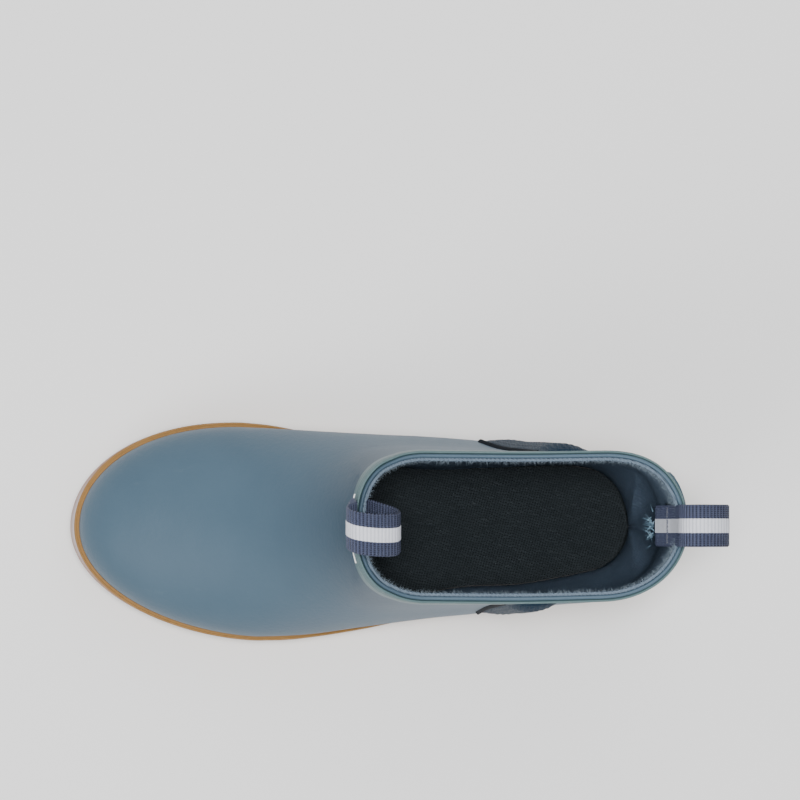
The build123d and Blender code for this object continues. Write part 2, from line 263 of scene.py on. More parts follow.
# ---- shader sockets ----------------------------------------------------------------------------
class Sock:
    """A shader socket that adds, multiplies and so on like a number."""

    def __init__(self, tree, socket):
        self.tree, self.socket = tree, socket

    def node(self, kind, *inputs, out=0, **settings):
        node = self.tree.nodes.new(kind)
        for key, value in settings.items():
            setattr(node, key, value)
        for key, value in inputs:
            if isinstance(value, Sock):
                self.tree.links.new(value.socket, node.inputs[key])
            else:
                node.inputs[key].default_value = value
        return Sock(self.tree, node.outputs[out])

    def maths(self, operation, a, b=0.0, c=0.0):
        return self.node("ShaderNodeMath", (0, a), (1, b), (2, c), operation=operation)

    def __add__(self, o):
        return self.maths("ADD", self, o)

    def __sub__(self, o):
        return self.maths("SUBTRACT", self, o)

    def __rsub__(self, o):
        return self.maths("SUBTRACT", o, self)

    def __mul__(self, o):
        return self.maths("MULTIPLY", self, o)

    def __truediv__(self, o):
        return self.maths("DIVIDE", self, o)

    __radd__, __rmul__ = __add__, __mul__

    def sin(self):
        return self.maths("SINE", self)

    def power(self, o):
        return self.maths("POWER", self, o)

    def above(self, low, high):
        """0 below low, 1 above high, eased between."""
        return self.node("ShaderNodeMapRange", ("Value", self), ("From Min", low), ("From Max", high),
                         interpolation_type="SMOOTHSTEP")

    def noise(self, scale, detail=3.0, rough=0.55, stretch=(1, 1, 1)):
        place = self.node("ShaderNodeVectorMath", (0, self), (1, tuple(stretch)), operation="MULTIPLY")
        return place.node("ShaderNodeTexNoise", ("Vector", place), ("Scale", scale), ("Detail", detail),
                          ("Roughness", rough))

    def cells(self, scale, stretch=(1, 1, 1), feature="F1"):
        place = self.node("ShaderNodeVectorMath", (0, self), (1, tuple(stretch)), operation="MULTIPLY")
        return place.node("ShaderNodeTexVoronoi", ("Vector", place), ("Scale", scale), feature=feature)

    def part(self, axis):
        return self.node("ShaderNodeSeparateXYZ", (0, self), out=axis)

    def between(self, low, high):
        """Colour from low to high as this goes from 0 to 1."""
        return self.node("ShaderNodeMix", (0, self), (6, (*low, 1)), (7, (*high, 1)), out=2, data_type="RGBA")

    def tint(self, colour, low):
        """This colour mixed towards another by a factor."""
        return self.node("ShaderNodeMix", (0, low), (6, self), (7, (*colour, 1)), out=2, data_type="RGBA")


def finish_of(name, build, roughness=0.5, sheen=0.0, specular=0.5, coat=0.0):
    """Material whose base colour, roughness and bump height come from build(place)."""
    material = bpy.data.materials.new(name)
    material.use_nodes = True
    tree = material.node_tree
    shader = tree.nodes["Principled BSDF"]
    place = Sock(tree, tree.nodes.new("ShaderNodeTexCoord").outputs["Object"])
    colour, rough, height, depth = build(place)
    shader.inputs["Roughness"].default_value = roughness
    shader.inputs["Sheen Weight"].default_value = sheen
    shader.inputs["Sheen Roughness"].default_value = 0.5
    shader.inputs["Specular IOR Level"].default_value = specular
    shader.inputs["Coat Weight"].default_value = coat
    shader.inputs["Coat Roughness"].default_value = 0.35
    if isinstance(colour, Sock):
        tree.links.new(colour.socket, shader.inputs["Base Color"])
    else:
        shader.inputs["Base Color"].default_value = (*colour, 1)
    if isinstance(rough, Sock):
        tree.links.new(rough.socket, shader.inputs["Roughness"])
    if isinstance(height, Sock):
        bump = tree.nodes.new("ShaderNodeBump")
        bump.inputs["Distance"].default_value = depth
        bump.inputs["Strength"].default_value = 1.0
        tree.links.new(height.socket, bump.inputs["Height"])
        tree.links.new(bump.outputs["Normal"], shader.inputs["Normal"])
    return material


floor_mesh.materials.append(finish_of("floor paper", lambda p: ((0.92, 0.92, 0.92), None, p.noise(900), 2e-5), 0.9))

columns = 2 * 170
shares = np.arange(columns) / columns
# rows of level, even along the instep line from the sole up to the rim
track_z = np.linspace(16, 158, 3000)
track = np.concatenate([[0], np.cumsum(np.hypot(np.diff(track_z), np.diff(smooth(track_z, instep))) + 0.02)])
levels = np.interp(np.linspace(0, track[-1], 170), track, track_z)


def lifted_level(level, drop=0.0):
    """Level z at every column, bent near the top to end `drop` below the rim line."""
    x = on_last(shares, np.full(columns, level))[:, 0]
    return level + (smooth(x, rim) - drop - 158) * ease((level - 105) / 53)


def wall_row(level, out, drop=0.0):
    z = lifted_level(level, drop)
    return off_last(shares, z, np.full(columns, float(out)))


# ---- upper -------------------------------------------------------------------------------------
# The moulded upper: 1.6 mm natural rubber over the last, vulcanised in one piece with the sole, with
# a soft satin skin and faint orange peel; the steep throat is darkened with painted shade.
def rubber(p):
    cloud = p.noise(28, 4)
    fine = p.noise(420, 2)
    speck = p.noise(1400, 2, 0.7)
    scuff = p.noise(90, 5, 0.7, (0.5, 1, 1)).above(0.62, 0.78)
    colour = cloud.between((0.055, 0.096, 0.136), (0.070, 0.116, 0.160)).tint((0.15, 0.20, 0.24), scuff * 0.12)
    # Painted shade: high up at the front, the throat is tinted towards deep navy.
    throat_painted_shade = p.part(2).above(0.068, 0.13) * (1 - p.part(0).above(-0.012, 0.03))
    colour = colour.tint((0.026, 0.052, 0.080), throat_painted_shade * 0.75)
    rough = 0.44 + cloud * 0.12 + scuff * 0.1
    return colour, rough, fine * 0.7 + speck * 0.35 + cloud * 0.8, 0.00022


upper_rubber = finish_of("upper rubber", rubber, specular=0.25)
outer_rows = [wall_row(z, 0) for z in levels]
rows = outer_rows + [wall_row(158, -0.35, -0.35), wall_row(158, -0.8, -0.45), wall_row(158, -1.3, -0.3)]
rows += [wall_row(z, -1.55) for z in levels[::-1][::3]] + [wall_row(16, -1.55)]
upper = ring_piece("moulded upper", rows, upper_rubber)
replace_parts(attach(upper, "boot"), "upper")

# ---- foxing strip ------------------------------------------------------------------------------
# Calendered gum strip rolled round the joint of upper and sole; its top edge is turned over and shows
# as a narrow tan line round the forefoot.
def gum(p):
    cloud = p.noise(60, 4)
    grime = p.noise(240, 5, 0.7).above(0.5, 0.75)
    colour = cloud.between((0.225, 0.112, 0.026), (0.300, 0.160, 0.046)).tint((0.10, 0.06, 0.03), grime * 0.35)
    return colour, 0.55 + grime * 0.2, cloud * 0.5 + p.noise(900, 3) * 0.3, 0.0002


def sole_edge(inset=0.0):
    """Points of the sole outline, drawn in by inset, column for column with the upper."""
    start, end = -165.3 + inset, 134 - inset
    x = start + (end - start) * (1 + np.cos(2 * pi * shares)) / 2
    sides = []
    for hand in (1, -1):
        toe = rounding((toe_widest[hand] - x) / (toe_widest[hand] - start), toe_power[hand])
        heel = rounding((x - heel_widest) / (end - heel_widest), heel_power[hand])
        sides.append(hand * (smooth(x, sole_side[hand]) - inset) * toe * heel)
    return x, np.where(shares < 0.5, sides[0], sides[1])


gum_rubber = finish_of("gum rubber", gum, specular=0.3)
edge_x, edge_y = sole_edge()
foxing_top = smooth(edge_x, [(-200, 32), (-150, 29), (-110, 27), (0, 26), (100, 27), (200, 29)])
behind_x, behind_y = sole_edge(0.0)
behind_x = behind_x + np.clip(2.3 * (-74 - edge_x) / 91, 0, None) * np.cos(2 * pi * (shares - 0.5)) ** 2
rows = []
for share, drop in ((0, None), (0, 8), (0, 5), (0, 2), (0.02, 0.9), (0.10, 0.3), (0.28, 0.0), (0.44, 0.25),
                    (0.52, 0.5), (0.62, 0.2), (0.78, 0.0), (0.92, 0.15), (1.1, 0.5)):
    z = np.full(columns, 16.0) if drop is None else foxing_top - drop
    target = off_last(shares, z, np.full(columns, 0.0))
    flat = np.stack([behind_x, behind_y, z], -1)
    rows.append(flat + (target - flat) * share)
rows.append(off_last(shares, np.full(columns, 16.0), np.full(columns, -0.3)))
foxing = ring_piece("foxing strip", rows, gum_rubber)
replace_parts(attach(foxing, "boot"), "foxing_strip")

# ---- toe bumper --------------------------------------------------------------------------------
# Crescent of paler pinkish grey rubber moulded round the outside of the toe, in front of the foxing;
# it thins out to nothing along each side, and its rounded upper edge carries a painted pale grey reflection.
def bumper(p):
    cloud = p.noise(120, 4)
    # Painted reflection: the top band of the bumper is tinted pale blue-grey.
    edge_painted_reflection = p.part(2).above(0.0262, 0.0285)
    return (cloud.between((0.30, 0.175, 0.125), (0.37, 0.235, 0.18)).tint((0.40, 0.44, 0.50), edge_painted_reflection * 0.75),
            0.35 + cloud * 0.15, cloud * 0.4 + p.noise(1200) * 0.3, 0.0002)


bumper_rubber = finish_of("bumper rubber", bumper, specular=0.5)
crescent = np.arange(int(0.33 * columns), int(0.67 * columns))
thin = np.clip(-0.4 + 2.9 * ((-74 - edge_x) / 91), 0, None)[crescent]
flat_out = np.stack([edge_x, edge_y], -1)
along = np.gradient(flat_out, axis=0)
sideways = np.stack([-along[:, 1], along[:, 0]], -1) / np.linalg.norm(along, axis=1, keepdims=True)
sideways *= np.sign((sideways * (flat_out - np.array([-40, 0]))).sum(1, keepdims=True))
sideways[:5] = sideways[-5:] = 0
rows = []
for part, drop in ((0, None), (0, 9), (0, 6.5), (0.0, 4.6), (0.05, 3.7), (0.16, 3.0), (0.38, 2.45), (0.68, 2.2),
                   (0.95, 2.2), (1.0, 2.6), (1.0, None)):
    z = np.full(len(crescent), 16.0) if drop is None else foxing_top[crescent] - drop
    z = 21 + (z - 21) * np.clip(thin / 0.9, 0, 1) ** 0.5
    spot = flat_out[crescent] - sideways[crescent] * (thin * part)[:, None]
    rows.append(np.concatenate([spot, z[:, None]], 1))
grid = np.stack(rows)
count = grid.shape[1]
faces = grid_faces(*grid.shape[:2], wrap_rows=True)
faces += [tuple(r * count for r in range(len(rows))), tuple(r * count + count - 1 for r in range(len(rows)))]
toe_bumper = turn_out(make("toe bumper", grid.reshape(-1, 3), faces, [bumper_rubber]))
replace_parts(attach(toe_bumper, "boot"), "toe_bumper")

# ---- outsole, board, shank and filler ----------------------------------------------------------
# Gum outsole with chevron sipes, made in the mould; the fibre board, steel shank and foam filler lie
# inside the bottom. They keep the modelled solids and take their finishes here.
def fibre(p):
    # Painted shade: the board is near-black so that where it shows through gaps inside the boot it reads as shadow.
    return p.noise(300, 5).between((0.012, 0.013, 0.016), (0.020, 0.021, 0.025)), 0.85, p.noise(700, 4), 0.0003


def steel(p):
    return p.noise(60, 2, 0.5, (1, 20, 1)).between((0.42, 0.42, 0.44), (0.55, 0.55, 0.57)), 0.35, p.noise(900), 0.0001


def foam(p):
    return p.cells(900).between((0.22, 0.22, 0.22), (0.34, 0.34, 0.34)), 0.9, p.cells(900), 0.0003


for node, material, slot in (
    ("outsole", gum_rubber, "gum_rubber"),
    ("insole_board", finish_of("fibre board", fibre), "board_fibre"),
    ("shank", finish_of("spring steel", steel), "shank_steel"),
    ("midsole_filler", finish_of("filler foam", foam), "filler_foam"),
):
    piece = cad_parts[node]
    piece.data.materials.clear()
    piece.data.materials.append(material)

# ---- side gores and their piping ---------------------------------------------------------------
# Elastic panels let into both sides so that the collar stretches over the heel: woven rubber thread
# under navy cloth, in slanting ribs, with a dark raised rubber piping moulded along the front edge.
def elastic(p):
    weave = (p.part(2) * 5200).sin() * 0.5 + (p.part(0) * 5200).sin() * 0.5
    cloud = p.noise(160, 4)
    colour = cloud.between((0.010, 0.022, 0.040), (0.020, 0.038, 0.060))
    return colour.tint((0.005, 0.009, 0.018), weave.above(0.1, 0.9) * 0.4), 0.8, weave * 0.5 + cloud * 0.5, 0.00025


def dark_rubber(p):
    return p.noise(200).between((0.002, 0.004, 0.008), (0.005, 0.009, 0.015)), 0.85, p.noise(900), 0.0001


gore_elastic = finish_of("gore elastic", elastic, specular=0.06)
piping_rubber = finish_of("piping rubber", dark_rubber, specular=0.02)
for hand, side, foot, head in ((1, "medial", (37, 70), (62, 137)), (-1, "lateral", (36, 70), (47, 137))):
    for part_name, start, end in (("gore", 3.0, 27.0), ("piping", 0.5, 2.5)):
        count = 150 if part_name == "gore" else 14
        v, u = np.meshgrid(np.linspace(0, 1, 120), np.linspace(0, 1, count), indexing="ij")
        lean = (head[0] - foot[0]) * v
        sag = 0.0 if part_name == "piping" else 6.0
        low = foot[1] + 4 * u * (part_name == "gore") - sag * np.sqrt(np.clip(1 - (2 * u - 1) ** 2, 0, 1))
        z = low + (head[1] + 1 - low) * v
        x = foot[0] + (head[0] - foot[0]) * (z - foot[1]) / (head[1] - foot[1]) + start + (end - start) * u
        border = np.minimum(np.minimum(u, 1 - u) * (end - start) / 1.2, np.minimum(v, 1.0) * 60 / 1.5)
        edge = np.sqrt(np.clip(1 - (1 - np.clip(border, 0, 1)) ** 2, 0, 1))
        if part_name == "gore":
            rib = 0.5 - 0.5 * np.cos(2 * pi * u * 9)
            swell = np.clip(np.sin(pi * u), 0, 1) ** 0.6 * np.clip(np.minimum(v / 0.16, (1 - v) / 0.1), 0, 1) ** 0.5
            proud = -0.35 + edge * 0.6 + (2.6 + 1.7 * ease(v / 0.7)) * swell + 0.3 * rib * edge * (0.3 + 0.7 * swell)
        else:
            proud = -0.2 + edge * (0.8 + 1.1 * np.clip(np.sin(pi * u), 0, 1) ** 0.8)
        base = np.stack([x, hand * half_width(hand, x, z), z], -1)
        dx = np.stack([x + 0.3, hand * half_width(hand, x + 0.3, z), z], -1) - base
        dz = np.stack([x, hand * half_width(hand, x, z + 0.3), z + 0.3], -1) - base
        normal = np.cross(dx, dz)
        normal /= np.linalg.norm(normal, axis=-1, keepdims=True)
        normal *= np.sign(normal[..., 1:2]) * hand
        material = gore_elastic if part_name == "gore" else piping_rubber
        piece = slab_piece(f"{side} {part_name}", base + normal * proud[..., None], base - normal * 1.2, material)
        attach(piece, "boot")
        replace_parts(piece, f"{side}_gore" if part_name == "gore" else f"{side}_gore_piping")

# ---- collar band -------------------------------------------------------------------------------
# Grey-green rubber band run round the outside of the collar in fine ridges, its top edge standing a
# little off the wall so that a dark line shows between the two.
def band(p):
    cloud = p.noise(70, 4)
    wear = p.noise(600, 4, 0.7).above(0.52, 0.72)
    colour = cloud.between((0.066, 0.118, 0.130), (0.092, 0.150, 0.158)).tint((0.17, 0.23, 0.23), wear * 0.2)
    return colour, 0.45 + wear * 0.15, cloud * 0.4 + p.noise(1100, 3) * 0.4, 0.0002


band_rubber = finish_of("band rubber", band, specular=0.3)
profile = [
    (15.0, -0.4), (15.0, 0.7), (14.6, 1.05), (13.5, 1.2), (8.0, 1.2), (7.4, 1.15), (7.1, 0.85), (6.7, 0.8),
    (6.3, 1.1), (5.6, 1.3), (4.7, 1.3), (4.1, 1.2), (3.8, 0.85), (3.4, 0.8), (3.0, 1.1), (2.4, 1.4),
    (1.5, 1.5), (0.8, 1.3), (0.5, 0.95), (0.6, 0.6), (1.3, 0.42), (2.0, -0.4),
]
rows = []
for drop, out in profile:
    x = on_last(shares, np.full(columns, 157.0 - drop))[:, 0]
    rows.append(off_last(shares, smooth(x, rim) - drop, np.full(columns, out)))
collar = ring_piece("collar band", rows, band_rubber)
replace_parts(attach(collar, "boot"), "collar_band")

# ---- heel stay ---------------------------------------------------------------------------------
# Rubber strip up the back seam, 2.4 mm thick with rounded edges and corners, ending under the band.
stay_rubber = finish_of("stay rubber", lambda p: (
    p.noise(40, 4).between((0.044, 0.088, 0.118), (0.060, 0.108, 0.142)), 0.42 + p.noise(300) * 0.12,
    p.noise(420) * 0.7 + p.noise(1400) * 0.4, 0.00022), specular=0.3)
v, u = np.meshgrid(np.linspace(0, 1, 90), np.linspace(0, 1, 60), indexing="ij")
y = -19 + 43 * u
z = 29 + 119 * v
table_share = np.linspace(-0.12, 0.12, 500)
share = np.empty_like(y)
for r in range(y.shape[0]):
    ys = on_last(np.mod(table_share, 1), np.full(500, z[r, 0]))[:, 1]
    share[r] = np.interp(y[r], ys, table_share)
gap = np.minimum(np.minimum(u * 43, (1 - u) * 43), np.minimum(v * 116, (1 - v) * 116))
corner = np.hypot(np.maximum(0, 6 - np.minimum(u, 1 - u) * 43), np.maximum(0, 6 - (1 - v) * 116))
gap = np.where((np.minimum(u, 1 - u) * 43 < 6) & ((1 - v) * 116 < 6), 6 - corner, gap)
swell = 2.7 + (0.6 + 1.2 * u) * ease((z - 95) / 45)
proud = -0.3 + swell * np.sqrt(np.clip(1 - (1 - np.clip(gap / 1.6, 0, 1)) ** 2, 0, 1))
round_back = np.mod(share, 1)
buried = np.full_like(proud, -0.8)
stay = slab_piece("heel stay", off_last(round_back, z, proud), off_last(round_back, z, buried), stay_rubber)
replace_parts(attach(stay, "boot"), "heel_stay")

# ---- front patch -------------------------------------------------------------------------------
# Plain white print on the front of the band, left blank, running under the pull loop.
patch_white = finish_of("white print", lambda p: (
    p.noise(900, 4).above(0.3, 0.36).between((0.75, 0.78, 0.80), (0.98, 0.98, 0.98)), 0.5, p.noise(900), 5e-5))
v, u = np.meshgrid(np.linspace(0, 1, 14), np.linspace(0, 1, 70), indexing="ij")
y = -16.3 + 31 * u
z = 147.4 + 1.0 * v
table_share = 0.5 + np.linspace(-0.2, 0.2, 500)
share = np.empty_like(y)
for r in range(y.shape[0]):
    ys = on_last(table_share, np.full(500, z[r, 0]))[:, 1]
    share[r] = np.interp(-y[r], -ys, table_share)
face, under = off_last(share, z, np.full_like(y, 1.55)), off_last(share, z, np.full_like(y, 1.0))
patch = slab_piece("front patch", face, under, patch_white)
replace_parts(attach(patch, "boot"), "front_patch")

# ---- lining ------------------------------------------------------------------------------------
# Brushed navy knit bonded inside the rubber, its cut edge fuzzy along the collar; it is painted paler high up near the
# collar, where more light falls.
def knit(p):
    course = (p.part(2) * 3600).sin()
    wale = ((p.part(0) + p.part(1) * 0.7) * 3200).sin()
    cloud = p.noise(110, 5, 0.65)
    fluff = p.noise(900, 5, 0.75)
    colour = cloud.between((0.062, 0.092, 0.140), (0.104, 0.146, 0.208))
    colour = colour.tint((0.21, 0.27, 0.34), fluff.above(0.45, 0.75) * 0.45)
    # Painted light: the knit is paler high up near the collar, as if lit there, and darker deeper in.
    colour = colour.tint((0.20, 0.26, 0.32), p.part(2).above(0.125, 0.156) * 0.5)
    return colour, 0.92, course * wale * 0.35 + fluff * 1.2 + cloud * 0.8, 0.0007


lining_knit = finish_of("lining knit", knit, specular=0.1)
crease = np.sin(shares * 2 * pi * 23) * 0.12 + np.sin(shares * 2 * pi * 7 + 1) * 0.15
bed_side = {
    1: [(-60, 44), (-30, 36), (0, 30), (25, 28.7), (59, 31.5), (83, 30.8), (92, 29.6), (125, 29)],
    -1: [(-60, 47), (-30, 40), (5, 34), (32, 29.5), (59, 28.2), (86, 23.6), (92, 22.2), (125, 20.5)],
}


def bed_edge(x):
    """Half widths of the footbed at x, for the medial and the lateral side."""
    sides = []
    for hand in (1, -1):
        rear = smooth(x, bed_side[hand]) * rounding((x - 88) / (113.8 - 88), 2.5)
        front = np.maximum(half_width(hand, np.clip(x, -156, None), 28.0) - 4.2, 0)
        sides.append(front + (np.minimum(rear, front) - front) * ease((x + 55) / 50))
    return sides


rows = []
turned = ease((92 - levels[::2]) / 66)
for level, part in zip(levels[::2], turned):
    x = on_last(shares, np.full(columns, level))[:, 0]
    z = level + (smooth(x, rim) - 0.9 - 158) * ease((level - 105) / 53)
    wall = off_last(shares, z, -3.25 + crease * np.sin(level / 9))
    spot = 55 + (wall[:, 0] - 55) * (1 - 0.167 * ease((wall[:, 0] - 55) / 30) * part)
    medial, lateral = bed_edge(np.minimum(spot, 113.8))
    edge = np.where(shares < 0.5, medial + 0.7, -lateral - 0.7)
    keep = part * ease((wall[:, 0] + 60) / 40)
    wall[:, 1] += (np.where(np.abs(wall[:, 1]) > np.abs(edge), edge, wall[:, 1]) - wall[:, 1]) * keep
    wall[:, 0] = spot
    rows.append(wall)
rows += [wall_row(158, -3.2, 0.4), wall_row(158, -2.7, 0.15), wall_row(158, -2.1, 0.2), wall_row(158, -1.65, 0.6)]
rows += [wall_row(z, -1.62) for z in levels[::-1][1::4]] + [wall_row(16, -1.62)]
lining = ring_piece("knit lining", rows, lining_knit)
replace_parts(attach(lining, "boot"), "lining")

# ---- lining fuzz -------------------------------------------------------------------------------
# Loose fibres standing off the knit near its cut edge, paler where they catch the light.
fibre_thread = finish_of("loose fibre", lambda p: (
    p.noise(700).between((0.07, 0.10, 0.14), (0.30, 0.38, 0.44)), 0.9, p.noise(900), 1e-5), sheen=0.3)
rng = np.random.default_rng(4)
count = 4200
seat_mesh = bpy.data.meshes.new("fibre seats")
fibre_share = rng.random(count)
x = on_last(fibre_share, np.full(count, 155.0))[:, 0]
fall = rng.random(count) ** 2.2 * 16
z = smooth(x, rim) - 1.0 - fall
root = off_last(fibre_share, z, np.full(count, -3.1))
heading = outwards(fibre_share, z) * -1 + np.array([0, 0, 0.7]) + rng.normal(0, 0.7, (count, 3))
heading /= np.linalg.norm(heading, axis=1, keepdims=True)
seat_mesh.from_pydata([tuple(q) for q in (root + away) / 1000], [], [])
seat_mesh.attributes.new("heading", "FLOAT_VECTOR", "POINT").data.foreach_set("vector", heading.ravel())
fuzz = bpy.data.objects.new("lining_fuzz", seat_mesh)
bpy.context.scene.collection.objects.link(fuzz)


def repeat(obj, build, inputs, material):
    """Runs a small node group on obj's points, sets its named inputs, and keeps the result as a plain mesh."""
    group = bpy.data.node_groups.new(obj.name + " repeat", "GeometryNodeTree")
    group.interface.new_socket("Geometry", in_out="INPUT", socket_type="NodeSocketGeometry")
    sockets = {k: group.interface.new_socket(k, in_out="INPUT", socket_type="NodeSocketFloat") for k in inputs}
    group.interface.new_socket("Geometry", in_out="OUTPUT", socket_type="NodeSocketGeometry")
    enter, leave = group.nodes.new("NodeGroupInput"), group.nodes.new("NodeGroupOutput")
    place = Sock(group, enter.outputs["Geometry"])
    values = {k: Sock(group, enter.outputs[k]) for k in inputs}
    instances = build(place, values)
    real = instances.node("GeometryNodeRealizeInstances", ("Geometry", instances))
    painted = real.node("GeometryNodeSetMaterial", ("Geometry", real), ("Material", material))
    group.links.new(painted.socket, leave.inputs[0])
    modifier = obj.modifiers.new("repeat", "NODES")
    modifier.node_group = group
    for key, value in inputs.items():
        modifier[sockets[key].identifier] = value
    view = obj.evaluated_get(bpy.context.evaluated_depsgraph_get())
    mesh = bpy.data.meshes.new_from_object(view)
    obj.modifiers.clear()
    obj.data = mesh
    return obj


def fibres(place, values):
    hair = place.node("GeometryNodeMeshCone", ("Vertices", 3), ("Side Segments", 2), ("Fill Segments", 1),
                      ("Radius Top", 0.00001), ("Radius Bottom", values["thickness"]), ("Depth", values["length"]))
    heading = place.node("GeometryNodeInputNamedAttribute", ("Name", "heading"), data_type="FLOAT_VECTOR")
    turn = place.node("FunctionNodeAlignRotationToVector", ("Vector", heading), axis="Z")
    size = place.node("FunctionNodeRandomValue", (2, 0.4), (3, 1.2), ("Seed", 11), out=1, data_type="FLOAT")
    return place.node("GeometryNodeInstanceOnPoints", ("Points", place), ("Instance", hair), ("Rotation", turn),
                      ("Scale", size))


repeat(fuzz, fibres, {"length": 0.0021, "thickness": 0.00006}, fibre_thread)
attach(fuzz, "boot")

# ---- footbed -----------------------------------------------------------------------------------
# Loose footbed: soft foam, cupped up round the heel, under a charcoal mesh cloth with rows of small
# breathing holes; a dark gap shows between it and the lining.
def mesh_cloth(p):
    stray = p.noise(260, 3) * 7
    one, two = p.part(0) * 3000 + p.part(1) * 1700 + stray, p.part(1) * 3000 - p.part(0) * 1700 + stray
    hole = 1 - (one.sin() * two.sin()).above(0.35, 0.7)
    weave = (one * 2).sin() * (two * 2).sin()
    cloud = p.noise(70, 4)
    colour = cloud.between((0.015, 0.020, 0.023), (0.026, 0.033, 0.037))
    colour = colour.tint((0.075, 0.09, 0.10), weave.above(0.1, 0.8) * 0.55)
    # The holes are painted near-black: partly the dark foam seen through them, partly painted shade inside them.
    return colour.tint((0.006, 0.008, 0.010), (1 - hole) * 0.85), 0.85, hole * 0.8 + weave * 0.4, 0.0005


footbed_cloth = finish_of("footbed cloth", mesh_cloth, specular=0.2)
footbed_foam = finish_of("footbed foam", lambda p: (
    p.cells(1200).between((0.03, 0.035, 0.04), (0.07, 0.08, 0.09)), 0.9, p.cells(1200), 0.0003))
bed_knots = [(-170, 27), (-110, 25), (-60, 25), (10, 29), (60, 29), (140, 27)]
bed_x = -152.5 + (113.8 + 152.5) * (1 - np.cos(np.linspace(0, pi, 170))) / 2
for name, top_drop, bottom_drop, material, nodes in (
    ("mesh footbed", 0.0, 1.15, footbed_cloth, "footbed_cover"),
    ("foam footbed", 1.2, 8.0, footbed_foam, "footbed_foam"),
):
    s = np.sin(np.linspace(-pi / 2, pi / 2, 60))
    x = np.repeat(bed_x[:, None], 60, 1)
    share_in = s[None, :].repeat(170, 0)
    medial, lateral = bed_edge(bed_x)
    wide = np.maximum(np.where(share_in > 0, medial[:, None], lateral[:, None]), 0.4)
    heel = ease((x - 40) / 50)
    cup = (np.abs(share_in) ** 6) * (1.4 + 1.6 * heel) + 1.2 * ease((x - 106) / 8) ** 2
    top = smooth(x, bed_knots) + cup - top_drop
    low = smooth(x, bed_knots) - bottom_drop if bottom_drop < 2 else np.full_like(x, 18.3)
    low = low + (cup if bottom_drop < 2 else 0)
    y = share_in * wide
    piece = slab_piece(name, np.stack([x, y, top], -1), np.stack([x, y, low], -1), material)
    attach(piece, "boot")
    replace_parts(piece, nodes)

# ---- pull loops --------------------------------------------------------------------------------
# One length of 19 mm ribbed nylon webbing makes each loop: stitched down outside the collar, over in
# an arch and down inside the lining, with a silver white stripe woven along its middle.
def webbing(p):
    run = p.node("ShaderNodeAttribute", attribute_name="run", out=2)
    side = p.node("ShaderNodeAttribute", attribute_name="side", out=2)
    rib = (run * (2 * pi / 1.65)).sin()
    stitch = (side * (2 * pi / 0.95) + rib.above(-0.2, 0.2) * pi).sin()
    fluff = p.noise(1500, 4, 0.7)
    lift = rib * 0.6 + stitch * 0.4
    colour = p.noise(250, 4).between((0.046, 0.056, 0.104), (0.080, 0.094, 0.158))
    # Painted shade: the grooves between ribs and stitches are darkened to near-black navy.
    colour = colour.tint((0.004, 0.005, 0.014), (1 - lift.above(-0.7, 0.1)) * 0.9)
    return colour.tint((0.15, 0.17, 0.24), fluff.above(0.5, 0.8) * 0.45), 0.75, lift * 0.8 + fluff * 0.8, 0.0004


def silver(p):
    rib = (p.node("ShaderNodeAttribute", attribute_name="run", out=2) * (2 * pi / 1.65)).sin()
    fine = (p.node("ShaderNodeAttribute", attribute_name="side", out=2) * (2 * pi / 0.4)).sin()
    fluff = p.noise(1300, 4, 0.7)
    # Painted shade: the stripe is darker in the grooves between its ribs and palest on the rib tops.
    colour = rib.above(-1.0, 0.1).between((0.52, 0.54, 0.61), (0.70, 0.72, 0.79))
    colour = colour.tint((0.30, 0.32, 0.40), fluff.above(0.5, 0.8) * 0.35)
    return colour, 0.45, rib * 0.3 + fine * 0.2 + fluff * 0.4, 0.0002


nylon = finish_of("nylon webbing", webbing, specular=0.25)
stripe_thread = finish_of("stripe thread", silver, specular=0.5)
arch = [
    (-5.7, 6.7), (-10.2, 12.5), (-11.6, 19), (-8.4, 25), (0, 27.3), (8.4, 25), (11.6, 19), (10.2, 12.5), (5.7, 6.7),
]
webbing_wide, webbing_thick, webbing_rib = 19, 1.25, 1.65
stripe_wide, stripe_thick, stripe_out = 6.5, 0.5, 0.62
bend_low, bend_high = 0.5, 7.0


def spline_through(points, count):
    """Evenly spaced points of a centripetal smooth curve."""
    pts = np.array(points, float)
    t = np.concatenate([[0], np.cumsum(np.sqrt(np.linalg.norm(np.diff(pts, axis=0), axis=1)))])
    fine = np.linspace(0, t[-1], 2000)
    curve = np.stack([smooth(fine, list(zip(t, pts[:, k]))) for k in range(2)], -1)
    run = np.concatenate([[0], np.cumsum(np.linalg.norm(np.diff(curve, axis=0), axis=1))])
    even = np.linspace(0, run[-1], count)
    return np.stack([np.interp(even, run, curve[:, k]) for k in range(2)], -1), run[-1]


